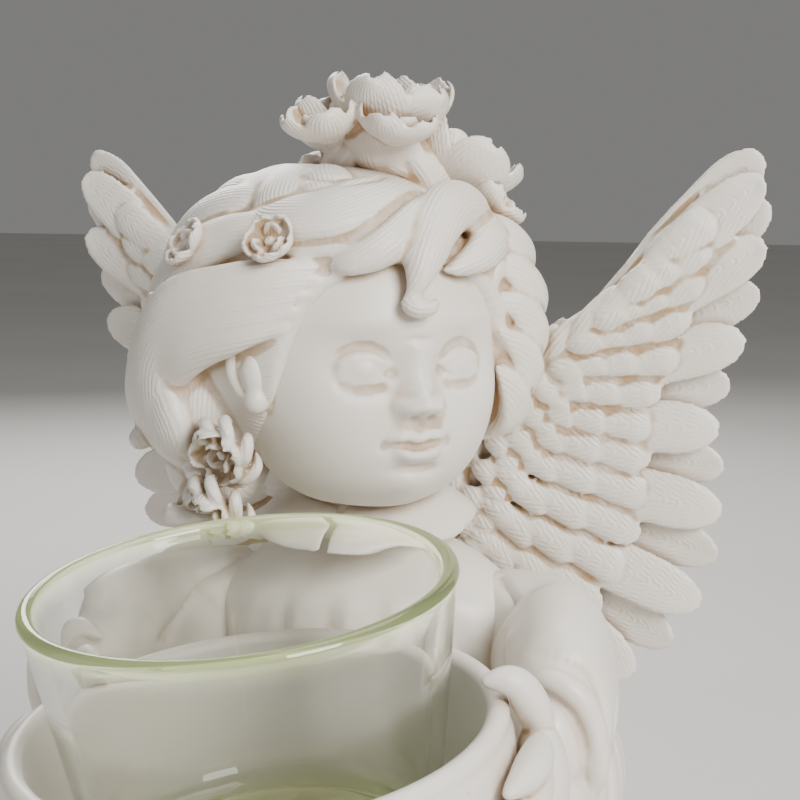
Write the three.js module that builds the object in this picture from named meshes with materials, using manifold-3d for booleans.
// A kneeling cherub in cast resin that holds a bowl with a loose glass votive cup.
// Millimetres, +Z up. The figure faces -Y and its left hand is on +X.
// The origin is on the underside of the felt pad, straight below the neck.
import * as THREE from 'three';
import { mergeVertices } from 'three/addons/utils/BufferGeometryUtils.js';
import Module from 'manifold-3d';

const wasm = await Module();
wasm.setup();

// ---- Driving dimensions ------------------------------------------------------------------
const JOINT_GAP = 0.3; // glue line or free play between neighbouring pieces
const LAP_GAP = 0.6; // the bowl's bed in the lap and between the sleeves

const PAD_THICKNESS = 1.2;
const PAD_INSET = 3; // the felt stops short of the robe's edge

const ROBE_HALF_WIDTH = 44;
const ROBE_FRONT = 78; // reach of the knees in front of the neck
const ROBE_BACK = 42; // reach of the hem behind the neck
const LAP_HEIGHT = 36;

const SHOULDER_HEIGHT = 78;
const SHOULDER_HALF_WIDTH = 29;
const CHEST_HALF_DEPTH = 16;

const HEAD_HALF_WIDTH = 24.5;
const HEAD_HALF_DEPTH = 25.5;
const HEAD_HALF_HEIGHT = 26.5;
const NECK_RADIUS = 10;
const CHIN_RISE = 13.5; // chin above the shoulder line
const HEAD_TURN = THREE.MathUtils.degToRad(48); // towards the figure's left
const HAIR_THICKNESS = 5;

const COLLAR_WIDTH = 8;
const COLLAR_THICKNESS = 2.6;
const COLLAR_LIFT = 1.2; // above the neck's root

const WING_REACH = 54; // from the root to the tip, sideways
const WING_RISE = 70; // from the root to the tip, upwards
const WING_THICKNESS = 5;
const WING_ROOT_OFFSET = 9; // root from the middle of the back
const WING_LEAN = THREE.MathUtils.degToRad(6); // the tips lean forward
const TRAILING_FEATHERS = 11;

const GARLAND_HALF_WIDTH = 13;
const GARLAND_HALF_HEIGHT = 20;
const GARLAND_TUBE = 4;
const GARLAND_TILT = THREE.MathUtils.degToRad(48); // climbs from the nape to the crown
const CROWN_FLOWER_RADIUS = 9.6;
const CROWN_FLOWERS = 7;
const FIRST_FLOWER = THREE.MathUtils.degToRad(76); // round the garland from the figure's left
const HAIR_FLOWER_RADIUS = 5;

const GLASS_RIM_RADIUS = 31.7;
const GLASS_FOOT_RADIUS = 24;
const GLASS_HEIGHT = 50;
const GLASS_WALL = 3;
const GLASS_FLOOR = 9;
const GLASS_STAND_OUT = 21; // the cup's rim above the bowl's lip

const BOWL_RADIUS = 37.6;
const BOWL_WALL = 3.6;
const BOWL_FLOOR = 3.4;
const BOWL_TILT_FORWARD = THREE.MathUtils.degToRad(7.5);
const BOWL_TILT_SIDE = THREE.MathUtils.degToRad(3); // towards the figure's right
const BOWL_SEAT = new THREE.Vector3(6.5, -58, LAP_HEIGHT + 2.4); // middle of its inner floor

const HAND_LENGTH = 10; // half of the cupped hand
const FOOT_LENGTH = 12; // half of the foot

const SEGMENTS_ROUND = 32;

// ---- Finishes ----------------------------------------------------------------------------
const resin = { color: 0xe9e3da, roughness: 0.42, metalness: 0 };
const glass = { color: 0xc9d3b4, roughness: 0.05, metalness: 0, transparent: true, opacity: 0.35 };
const felt = { color: 0x8a8072, roughness: 0.95, metalness: 0 };

// ---- Solids ------------------------------------------------------------------------------
const at = (x, y, z) => new THREE.Vector3(x, y, z);

/** One shared vertex per corner, so that the surface is watertight. */
function welded(geometry) {
  const bare = geometry.clone();
  bare.deleteAttribute('normal');
  bare.deleteAttribute('uv');
  return mergeVertices(bare, 1e-3);
}

/** The same shape grown outward all over, as the room that a neighbour leaves for it. */
function swollen(geometry, growth) {
  const grown = welded(geometry);
  grown.computeVertexNormals();
  const { position, normal } = grown.attributes;
  const point = new THREE.Vector3();
  const outward = new THREE.Vector3();
  for (let i = 0; i < position.count; i += 1) {
    point.fromBufferAttribute(position, i).addScaledVector(
      outward.fromBufferAttribute(normal, i),
      growth,
    );
    position.setXYZ(i, point.x, point.y, point.z);
  }
  return grown;
}

/** A closed geometry as a solid that can be joined and cut. */
function solidOf(geometry) {
  const shape = welded(geometry);
  return new wasm.Manifold(new wasm.Mesh({
    numProp: 3,
    vertProperties: new Float32Array(shape.attributes.position.array),
    triVerts: new Uint32Array(shape.index.array),
  }));
}

/** Several overlapping geometries as one solid, each grown by the same amount. */
function joined(shapes, growth = 0) {
  return shapes
    .map((shape) => solidOf(growth ? swollen(shape, growth) : shape))
    .reduce((all, next) => all.add(next));
}

/** A solid without the room that its neighbours take; loose crumbs of the cut are dropped. */
function cutClear(solid, ...obstacles) {
  const cut = obstacles.reduce((left, obstacle) => left.subtract(obstacle), solid);
  return cut.decompose().reduce((best, piece) => (piece.volume() > best.volume() ? piece : best));
}

function meshOf(name, solid, finish) {
  const { vertProperties, triVerts, numProp } = solid.getMesh();
  const geometry = new THREE.BufferGeometry();
  const corners = new Float32Array((vertProperties.length / numProp) * 3);
  for (let i = 0; i < corners.length / 3; i += 1) {
    corners.set(vertProperties.subarray(i * numProp, i * numProp + 3), i * 3);
  }
  geometry.setAttribute('position', new THREE.BufferAttribute(corners, 3));
  geometry.setIndex(new THREE.BufferAttribute(new Uint32Array(triVerts), 1));
  geometry.computeVertexNormals();
  const mesh = new THREE.Mesh(geometry, new THREE.MeshStandardMaterial(finish));
  mesh.name = name;
  return mesh;
}

function ball(center, radii, turn = 0, around = 16, along = 10) {
  return new THREE.SphereGeometry(1, around, along)
    .rotateX(Math.PI / 2)
    .scale(radii.x, radii.y, radii.z)
    .rotateZ(turn)
    .translate(center.x, center.y, center.z);
}

/**
 * A rounded limb: a sphere re-formed along a smooth path, elliptical at each station.
 * A station holds its point and its half sizes across (wide) and towards `up` (high).
 */
function limb(stations, up, around = 14, along = 12, bluntness = 0.45) {
  const path = new THREE.CatmullRomCurve3(stations.map((station) => station.point));
  const sizes = new THREE.CatmullRomCurve3(
    stations.map((station) => at(station.wide, station.high, 0)),
  );
  const shape = new THREE.SphereGeometry(1, around, along);
  const { position } = shape.attributes;
  for (let i = 0; i < position.count; i += 1) {
    const polar = Math.acos(THREE.MathUtils.clamp(position.getY(i), -1, 1));
    const share = polar / Math.PI;
    const ring = Math.max(Math.sin(polar), 1e-9);
    const blunt = Math.sin(polar) ** bluntness;
    const tangent = path.getTangent(share);
    const side = up.clone().cross(tangent).normalize();
    const lift = tangent.clone().cross(side);
    const size = sizes.getPoint(share);
    const point = path.getPoint(share)
      .addScaledVector(side, (position.getX(i) / ring) * blunt * size.x)
      .addScaledVector(lift, (position.getZ(i) / ring) * blunt * size.y);
    position.setXYZ(i, point.x, point.y, point.z);
  }
  return shape;
}

/** A cupped flower that opens towards +Z, its edge scalloped into petals. */
function blossom(radius, petals = 5) {
  const shape = new THREE.SphereGeometry(1, petals * 4, 4).rotateX(Math.PI / 2);
  const { position } = shape.attributes;
  const height = radius * 1.15;
  for (let i = 0; i < position.count; i += 1) {
    const [x, y, z] = [position.getX(i), position.getY(i), position.getZ(i)];
    const spread = Math.hypot(x, y);
    const scallop = 1 + 0.14 * Math.cos(petals * Math.atan2(y, x)) * spread;
    const bowl = spread ** 2;
    const level = z >= -1e-6 ? 0.35 + 0.65 * bowl : 0.8 * bowl;
    position.setXYZ(i, x * scallop * radius, y * scallop * radius, (level - 0.1) * height);
  }
  return shape;
}

/** A geometry stood on a point, with its +Z along the given direction. */
function stoodOn(geometry, point, direction) {
  const turn = new THREE.Quaternion().setFromUnitVectors(at(0, 0, 1), direction);
  return geometry.applyQuaternion(turn).translate(point.x, point.y, point.z);
}

/** The mirror image in the figure's middle plane, with its faces still pointing out. */
function mirrored(geometry) {
  const twin = welded(geometry).scale(-1, 1, 1);
  const corners = twin.index.array;
  for (let i = 0; i < corners.length; i += 3) {
    [corners[i], corners[i + 1]] = [corners[i + 1], corners[i]];
  }
  return twin;
}

/** A closed or on-axis profile of [radius, height] pairs, turned about +Z. */
function turned(profile, segments = SEGMENTS_ROUND) {
  const points = profile.map(([radius, height]) => new THREE.Vector2(radius, height));
  return new THREE.LatheGeometry(points, segments).rotateX(Math.PI / 2);
}

// ---- The bowl and its glass cup, both turned about the bowl's own axis ---------------------
const bowlDepth = GLASS_HEIGHT - GLASS_STAND_OUT;
const bowlFootRadius = GLASS_FOOT_RADIUS - 2;
const bowlSeatRadius = GLASS_FOOT_RADIUS + JOINT_GAP + 0.8;
const lipRadius = BOWL_RADIUS - BOWL_WALL * 0.8;

const bowlOutside = [
  [0, -BOWL_FLOOR],
  [bowlFootRadius, -BOWL_FLOOR],
  [bowlFootRadius + 6, bowlDepth * 0.06],
  [BOWL_RADIUS - 3.2, bowlDepth * 0.36],
  [BOWL_RADIUS, bowlDepth * 0.7],
  [BOWL_RADIUS - 0.6, bowlDepth * 0.88],
  [lipRadius, bowlDepth],
];
const bowlInside = [
  [lipRadius - 1.6, bowlDepth - 0.9],
  [BOWL_RADIUS - BOWL_WALL - 1, bowlDepth * 0.8],
  [BOWL_RADIUS - BOWL_WALL - 2.4, bowlDepth * 0.5],
  [bowlSeatRadius + 2.6, bowlDepth * 0.16],
  [bowlSeatRadius, 0],
  [0, 0],
];
const glassTaper = (GLASS_RIM_RADIUS - GLASS_FOOT_RADIUS) / GLASS_HEIGHT;
const glassInnerFoot = GLASS_FOOT_RADIUS + glassTaper * GLASS_FLOOR - GLASS_WALL;
const glassProfile = [
  [0, 0],
  [GLASS_FOOT_RADIUS - 2, 0],
  [GLASS_FOOT_RADIUS, 2],
  [GLASS_RIM_RADIUS, GLASS_HEIGHT - 1.5],
  [GLASS_RIM_RADIUS - GLASS_WALL * 0.3, GLASS_HEIGHT],
  [GLASS_RIM_RADIUS - GLASS_WALL * 0.7, GLASS_HEIGHT],
  [GLASS_RIM_RADIUS - GLASS_WALL, GLASS_HEIGHT - 1.5],
  [glassInnerFoot, GLASS_FLOOR + 3],
  [glassInnerFoot - 2.5, GLASS_FLOOR],
  [0, GLASS_FLOOR],
];
const bowlTilt = new THREE.Euler(BOWL_TILT_FORWARD, -BOWL_TILT_SIDE, 0);
const bowlPlace = new THREE.Matrix4().makeRotationFromEuler(bowlTilt).setPosition(BOWL_SEAT);
const bowlBody = turned([...bowlOutside, ...bowlInside]);
const bowlRoom = joined([
  turned([...bowlOutside, [lipRadius, bowlDepth + GLASS_STAND_OUT + 4],
    [0, bowlDepth + GLASS_STAND_OUT + 4]]).applyMatrix4(bowlPlace),
], LAP_GAP);
const bowlAxis = at(0, 0, 1).applyEuler(bowlTilt);
const lipCentre = BOWL_SEAT.clone().addScaledVector(bowlAxis, bowlDepth);

// ---- Robe: kneeling lower body, chest and sleeves -----------------------------------------
const BACKWARD = at(0, 1, 0);
const UPWARD = at(0, 0, 1);
const FORWARD = at(0, -1, 0);
const robeLevel = LAP_HEIGHT * 0.25;
const robeCrown = LAP_HEIGHT - robeLevel;
const robeShapes = [
  limb([
    { point: at(0, ROBE_BACK - 2, robeLevel), wide: 26, high: robeCrown * 0.42 },
    { point: at(0, ROBE_BACK * 0.5, robeLevel), wide: ROBE_HALF_WIDTH * 0.92, high: robeCrown },
    { point: at(0, -ROBE_FRONT * 0.15, robeLevel), wide: ROBE_HALF_WIDTH, high: robeCrown },
    { point: at(0, -ROBE_FRONT * 0.5, robeLevel), wide: ROBE_HALF_WIDTH, high: robeCrown },
    { point: at(0, -ROBE_FRONT * 0.8, robeLevel), wide: ROBE_HALF_WIDTH * 0.95, high: robeCrown },
    { point: at(0, 2 - ROBE_FRONT, robeLevel), wide: ROBE_HALF_WIDTH * 0.7, high: robeCrown * 0.75 },
  ], UPWARD, 22, 14, 0.3),
  ball(at(0, 5, LAP_HEIGHT - 4), at(SHOULDER_HALF_WIDTH + 5, CHEST_HALF_DEPTH + 10, 22)),
];
const tableCut = solidOf(new THREE.BoxGeometry(400, 400, 100)
  .translate(0, 0, PAD_THICKNESS + JOINT_GAP - 50));
const robeSkirt = cutClear(joined(robeShapes), tableCut, bowlRoom);
const robeRoom = joined(robeShapes, JOINT_GAP);

const neckPoint = at(0, -4, SHOULDER_HEIGHT + 8);
const torsoShapes = [
  limb([
    { point: at(0, 4, LAP_HEIGHT), wide: SHOULDER_HALF_WIDTH, high: CHEST_HALF_DEPTH + 3 },
    { point: at(0, 1, LAP_HEIGHT + 16), wide: SHOULDER_HALF_WIDTH - 3, high: CHEST_HALF_DEPTH + 1 },
    { point: at(0, -1, SHOULDER_HEIGHT - 12), wide: SHOULDER_HALF_WIDTH, high: CHEST_HALF_DEPTH },
    { point: at(0, -2, SHOULDER_HEIGHT - 1), wide: SHOULDER_HALF_WIDTH - 2, high: CHEST_HALF_DEPTH },
    { point: neckPoint, wide: NECK_RADIUS + 6, high: NECK_RADIUS + 2 },
  ], FORWARD, 18, 12),
];
const torso = cutClear(joined(torsoShapes), robeRoom, bowlRoom);
const torsoRoom = joined(torsoShapes, JOINT_GAP);

const wrist = at(BOWL_RADIUS + 5, BOWL_SEAT.y + 19, lipCentre.z - 8);
const sleeveShapes = [
  limb([
    { point: at(SHOULDER_HALF_WIDTH - 8, 1, SHOULDER_HEIGHT - 3), wide: 9, high: 9 },
    { point: at(SHOULDER_HALF_WIDTH + 4, -5, SHOULDER_HEIGHT - 12), wide: 10, high: 14 },
    { point: at(wrist.x - 2, (wrist.y - 6) * 0.55, wrist.z + 1), wide: 9.5, high: 17 },
    { point: wrist, wide: 7.5, high: 13 },
  ], UPWARD, 12, 10),
  ball(at(wrist.x - 3.5, -18, wrist.z - 15), at(11, 18, 15), 0, 12, 8),
];

// ---- Head, hair and collar -----------------------------------------------------------------
const headCentre = at(-2, -6.5, SHOULDER_HEIGHT + CHIN_RISE + HEAD_HALF_HEIGHT);
const faceWards = at(Math.sin(HEAD_TURN), -Math.cos(HEAD_TURN), 0);
const headLeft = at(Math.cos(HEAD_TURN), Math.sin(HEAD_TURN), 0);

/** A point of the head: to its own left, to its front and upwards from its middle. */
function onHead(left, front, rise) {
  return headCentre.clone()
    .addScaledVector(headLeft, left)
    .addScaledVector(faceWards, front)
    .add(at(0, 0, rise));
}

const headShapes = [
  ball(headCentre, at(HEAD_HALF_WIDTH, HEAD_HALF_DEPTH, HEAD_HALF_HEIGHT), HEAD_TURN, 16, 12),
  ball(onHead(0, HEAD_HALF_DEPTH * 0.62, -HEAD_HALF_HEIGHT * 0.64), at(10, 8, 9), HEAD_TURN, 12, 8),
  ...[-1, 1].map((side) => ball(
    onHead(side * HEAD_HALF_WIDTH * 0.38, HEAD_HALF_DEPTH * 0.5, -HEAD_HALF_HEIGHT * 0.52),
    at(12, 11.5, 11), HEAD_TURN, 12, 8,
  )),
  limb([
    { point: neckPoint.clone().add(at(0, 1, -7)), wide: NECK_RADIUS, high: NECK_RADIUS },
    { point: neckPoint.clone().add(at(-1, 0, 4)), wide: NECK_RADIUS, high: NECK_RADIUS },
    { point: onHead(0, -2, -10), wide: NECK_RADIUS, high: NECK_RADIUS },
  ], FORWARD, 16, 8, 0.2),
];
const head = cutClear(joined(headShapes), torsoRoom);
const headRoom = joined(headShapes, JOINT_GAP);

const collarRadius = NECK_RADIUS + 1;
const collarShape = turned([
  [collarRadius, -4 - COLLAR_THICKNESS],
  [collarRadius + COLLAR_WIDTH - 1.4, -4 - COLLAR_THICKNESS],
  [collarRadius + COLLAR_WIDTH, -4],
  [collarRadius + COLLAR_WIDTH * 0.7, 1],
  [collarRadius + 2.4, 3.2],
  [collarRadius, 1.5],
  [collarRadius, -4 - COLLAR_THICKNESS],
], 24).rotateX(THREE.MathUtils.degToRad(7)).translate(neckPoint.x, neckPoint.y, neckPoint.z + COLLAR_LIFT);
const collar = cutClear(solidOf(collarShape), torsoRoom, headRoom);
const collarRoom = joined([collarShape], JOINT_GAP);

const hairCentre = onHead(0, -3, 0.5);
const hairRadii = at(
  HEAD_HALF_WIDTH + HAIR_THICKNESS,
  HEAD_HALF_DEPTH + HAIR_THICKNESS,
  HEAD_HALF_HEIGHT + HAIR_THICKNESS * 0.6,
);
const sideLock = onHead(-HEAD_HALF_WIDTH + 0.5, -5, -HEAD_HALF_HEIGHT * 0.52);
const hairShapes = [
  ball(hairCentre, hairRadii, HEAD_TURN, 16, 10),
  ball(sideLock, at(12.5, 15, 12.5), HEAD_TURN, 12, 8),
  ball(sideLock.clone().add(at(2, -2, -9)), at(9, 9, 7), HEAD_TURN, 10, 6),
  ball(onHead(HEAD_HALF_WIDTH - 1, -4, -HEAD_HALF_HEIGHT * 0.35), at(9, 13, 15), HEAD_TURN, 12, 8),
  ball(onHead(0, -HEAD_HALF_DEPTH + 3, -HEAD_HALF_HEIGHT * 0.55), at(20, 9, 13), HEAD_TURN, 12, 8),
];
const faceWindow = solidOf(ball(
  onHead(0, HEAD_HALF_DEPTH - 3, -HEAD_HALF_HEIGHT * 0.27),
  at(HEAD_HALF_WIDTH * 0.84, HEAD_HALF_DEPTH * 0.7, HEAD_HALF_HEIGHT * 0.78),
  HEAD_TURN, 14, 8,
));
const foreheadCurl = limb([
  { point: onHead(-9, HEAD_HALF_DEPTH * 0.72, HEAD_HALF_HEIGHT * 0.76), wide: 5, high: 4 },
  { point: onHead(-1, HEAD_HALF_DEPTH * 0.93, HEAD_HALF_HEIGHT * 0.6), wide: 4.5, high: 4 },
  { point: onHead(2, HEAD_HALF_DEPTH * 1.02, HEAD_HALF_HEIGHT * 0.4), wide: 3.5, high: 3.5 },
], UPWARD, 10, 8);
const hair = cutClear(
  joined(hairShapes).subtract(faceWindow).add(solidOf(foreheadCurl)),
  headRoom, torsoRoom, collarRoom,
);
const hairRoom = joined([...hairShapes, foreheadCurl], JOINT_GAP);

// ---- Garland and the blossoms in the hair ---------------------------------------------------
const garlandCentre = at(-1, 11, headCentre.z + HEAD_HALF_HEIGHT * 0.585);
const garlandUp = at(0, -Math.cos(GARLAND_TILT), Math.sin(GARLAND_TILT));

/** The point of the garland at an angle that starts on the figure's left and climbs. */
function onGarland(angle) {
  return garlandCentre.clone()
    .add(at(Math.cos(angle) * GARLAND_HALF_WIDTH, 0, 0))
    .addScaledVector(garlandUp, Math.sin(angle) * GARLAND_HALF_HEIGHT);
}

const garlandShape = new THREE.TorusGeometry(1, GARLAND_TUBE / GARLAND_HALF_WIDTH, 6, 28)
  .scale(GARLAND_HALF_WIDTH, GARLAND_HALF_HEIGHT, GARLAND_HALF_WIDTH)
  .applyMatrix4(new THREE.Matrix4().makeBasis(
    at(1, 0, 0),
    garlandUp,
    at(1, 0, 0).cross(garlandUp),
  ))
  .translate(garlandCentre.x, garlandCentre.y, garlandCentre.z);
const garlandBand = cutClear(solidOf(garlandShape), hairRoom);
const garlandRoom = joined([garlandShape], JOINT_GAP);

const crownShapes = Array.from({ length: CROWN_FLOWERS }, (_, i) => {
  const point = onGarland(FIRST_FLOWER + (i / CROWN_FLOWERS) * 2 * Math.PI);
  const squeeze = point.z > garlandCentre.z - GARLAND_HALF_HEIGHT / 2 ? 0.6 : 1; // the upper ones lean in
  const outward = point.clone().sub(hairCentre).multiply(at(squeeze, 1, 1)).normalize();
  const size = CROWN_FLOWER_RADIUS * (i % 2 ? 0.84 : 1);
  return stoodOn(blossom(size), point.addScaledVector(outward, GARLAND_TUBE * 0.8), outward);
});

/** A point on the hair, as shares of its radii to the head's left, to its front and upwards. */
function onHair(left, front, rise) {
  return hairCentre.clone()
    .addScaledVector(headLeft, left * hairRadii.x)
    .addScaledVector(faceWards, front * hairRadii.y)
    .add(at(0, 0, rise * hairRadii.z));
}

const lockFace = sideLock.clone().addScaledVector(faceWards, 10);
const hairFlowerSites = [
  onHair(-0.68, 0.59, 0.47),
  onHair(-0.865, 0.065, 0.445),
  onHair(-0.965, -0.13, 0.075),
  lockFace.clone().add(at(2.5, -3, -2.5)),
  lockFace.clone().add(at(0.5, -1.5, -11.5)),
];
const hairFlowerShapes = hairFlowerSites.map((site) => {
  const outward = site.clone().sub(headCentre.clone().add(at(0, 0, -4))).normalize();
  return stoodOn(blossom(HAIR_FLOWER_RADIUS), site, outward);
});

// ---- Wings ---------------------------------------------------------------------------------
const wingRoot = at(WING_ROOT_OFFSET, CHEST_HALF_DEPTH + 1.5, SHOULDER_HEIGHT + 2);

/** A point of the wing's outline, in shares of its reach and its rise from the root. */
const wingPoint = (across, along) => new THREE.Vector2(across * WING_REACH, along * WING_RISE);

function wingShape() {
  const leading = new THREE.SplineCurve([
    wingPoint(0, -0.2), wingPoint(-0.02, 0.06), wingPoint(0.12, 0.32), wingPoint(0.3, 0.47),
    wingPoint(0.56, 0.6), wingPoint(0.82, 0.8), wingPoint(1, 1),
  ]);
  const trailing = new THREE.SplineCurve([
    wingPoint(1, 1), wingPoint(1.04, 0.84), wingPoint(0.99, 0.55), wingPoint(0.87, 0.32),
    wingPoint(0.9, 0.1), wingPoint(0.84, -0.14), wingPoint(0.6, -0.37), wingPoint(0.3, -0.38),
    wingPoint(0, -0.2),
  ]);
  const outline = new THREE.Shape();
  const edge = leading.getPoints(10);
  outline.moveTo(edge[0].x, edge[0].y);
  edge.slice(1).forEach((point) => outline.lineTo(point.x, point.y));
  const middle = wingPoint(0.45, 0.2);
  for (let i = 1; i <= TRAILING_FEATHERS; i += 1) {
    const tip = trailing.getPoint((i - 0.5) / TRAILING_FEATHERS);
    const notch = trailing.getPoint(i / TRAILING_FEATHERS);
    const bulge = tip.clone().sub(middle).setLength(2.5).add(tip);
    if (i < TRAILING_FEATHERS) notch.lerp(middle, 0.06);
    outline.quadraticCurveTo(bulge.x, bulge.y, notch.x, notch.y);
  }
  return new THREE.ExtrudeGeometry(outline, {
    depth: WING_THICKNESS - 2,
    bevelThickness: 1,
    bevelSize: 1,
    bevelSegments: 1,
    curveSegments: 3,
  })
    .rotateX(Math.PI / 2)
    .translate(0, WING_THICKNESS, 0)
    .rotateX(WING_LEAN)
    .translate(wingRoot.x, wingRoot.y, wingRoot.z);
}

const wingShapes = [
  wingShape(),
  ball(wingRoot.clone().add(at(0, -1, -9)), at(6, 6.5, 10), 0, 10, 6),
];

// ---- Hands and feet ------------------------------------------------------------------------
const palm = wrist.clone().add(at(-0.5, -HAND_LENGTH + 1, 0));
const handShapes = [
  limb([
    { point: wrist.clone().add(at(0, 5, 0)), wide: 4.5, high: 5 },
    { point: palm, wide: 5.5, high: 9 },
    { point: palm.clone().add(at(-4, -HAND_LENGTH, -1)), wide: 5, high: 8 },
  ], UPWARD, 10, 8),
  limb([
    { point: palm.clone().add(at(0, 4, 4)), wide: 3.4, high: 3.4 },
    { point: palm.clone().add(at(-3, -1, 11)), wide: 3.2, high: 3.2 },
    { point: palm.clone().add(at(-9, -2, 14.5)), wide: 2.8, high: 2.8 },
  ], BACKWARD, 8, 6),
];
const footShape = limb([
  { point: at(13, ROBE_BACK - 13, 9), wide: 7, high: 6 },
  { point: at(14, ROBE_BACK - 13 + FOOT_LENGTH, 8.5), wide: 8, high: 6.5 },
  { point: at(16, ROBE_BACK - 13 + FOOT_LENGTH * 1.7, 7.5), wide: 8.5, high: 5 },
], UPWARD, 12, 8);

// ---- Felt pad ------------------------------------------------------------------------------
function padShape() {
  const outline = new THREE.Shape();
  const half = ROBE_HALF_WIDTH * 0.95 - PAD_INSET;
  const front = -ROBE_FRONT + PAD_INSET + 4;
  const back = ROBE_BACK - PAD_INSET - 5;
  outline.moveTo(0, front);
  outline.bezierCurveTo(half * 0.75, front, half, front * 0.72, half, front * 0.4);
  outline.bezierCurveTo(half, back * 0.3, half * 0.7, back, 0, back);
  outline.bezierCurveTo(-half * 0.7, back, -half, back * 0.3, -half, front * 0.4);
  outline.bezierCurveTo(-half, front * 0.72, -half * 0.75, front, 0, front);
  return new THREE.ExtrudeGeometry(outline, {
    depth: PAD_THICKNESS, bevelEnabled: false, curveSegments: 10,
  });
}

// ---- Assembly ------------------------------------------------------------------------------
const figurine = new THREE.Group();
const add = (name, solid, finish = resin) => figurine.add(meshOf(name, solid, finish));

add('felt_pad', solidOf(padShape()), felt);
add('robe_skirt', robeSkirt);
add('torso', torso);
add('head', head);
add('collar', collar);
add('hair', hair);
add('garland_band', garlandBand);

const bedded = [hairRoom, garlandRoom];
crownShapes.forEach((shape, i) => {
  add(`crown_flower_${i + 1}`, cutClear(solidOf(shape), ...bedded));
  bedded.push(joined([shape], JOINT_GAP));
});
hairFlowerShapes.forEach((shape, i) => {
  add(`hair_flower_${i + 1}`, cutClear(solidOf(shape), headRoom, ...bedded));
  bedded.push(joined([shape], JOINT_GAP));
});

[['left', (shape) => shape], ['right', mirrored]].forEach(([side, place]) => {
  const sleeve = sleeveShapes.map(place);
  const hand = handShapes.map(place);
  const sleeveRoom = joined(sleeve, JOINT_GAP);
  add(`sleeve_${side}`, cutClear(
    joined(sleeve), torsoRoom, robeRoom, collarRoom, bowlRoom, headRoom, hairRoom,
  ));
  add(`hand_${side}`, cutClear(joined(hand), sleeveRoom, bowlRoom, robeRoom));
  add(`wing_${side}`, cutClear(
    joined(wingShapes.map(place)), torsoRoom, sleeveRoom, collarRoom, headRoom, ...bedded, robeRoom,
  ));
  add(`foot_${side}`, cutClear(solidOf(place(footShape)), robeRoom, tableCut));
});

const bowlGroup = new THREE.Group();
bowlGroup.position.copy(BOWL_SEAT);
bowlGroup.rotation.copy(bowlTilt);
bowlGroup.add(meshOf('bowl', solidOf(bowlBody), resin));
const cup = meshOf('glass_cup', solidOf(turned(glassProfile)), glass);
cup.position.z = JOINT_GAP;
bowlGroup.add(cup);
figurine.add(bowlGroup);

export default figurine;
